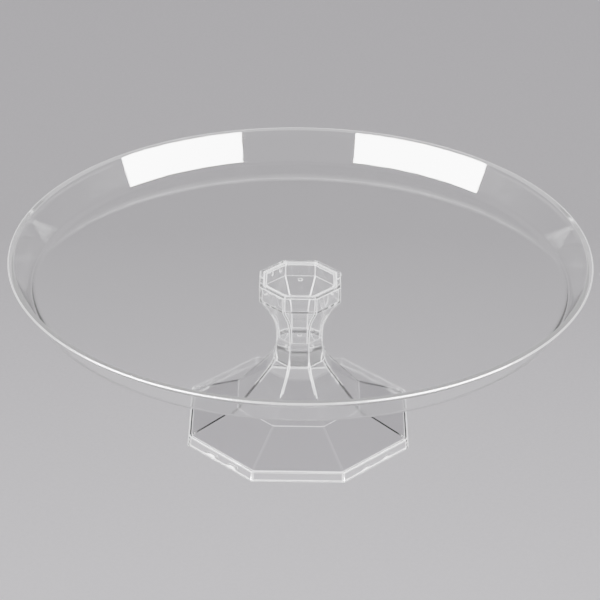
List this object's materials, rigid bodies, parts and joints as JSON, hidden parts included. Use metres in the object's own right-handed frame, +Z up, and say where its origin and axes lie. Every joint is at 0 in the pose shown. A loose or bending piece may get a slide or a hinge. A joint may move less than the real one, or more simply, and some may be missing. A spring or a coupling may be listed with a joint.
{
  "type": "cake stand",
  "caption": "Clear moulded cake stand: a round shallow tray with a sloped wall and flat rim lifts off a hollow octagonal hourglass pedestal with a socket cup.",
  "frame": {"origin": "centre of the pedestal's underside, on the table", "axes": "+Z up along the axis of plate and pedestal; +X and +Y each face square out of a flat side of the octagon, and -Y is the front"},
  "size_m": [0.3048, 0.3048, 0.105],
  "materials": {
    "plate_plastic": "polished, colourless and clear",
    "pedestal_plastic": "polished, colourless and clear"
  },
  "bodies": {
    "pedestal": {"pedestal": "pedestal_plastic"},
    "plate": {"plate": "plate_plastic"}
  },
  "joints": [
    {"name": "plate_lift", "type": "slide", "parent": "pedestal", "child": "plate", "axis": [0, 0, 1], "range_m": [0, 0.06]}
  ]
}
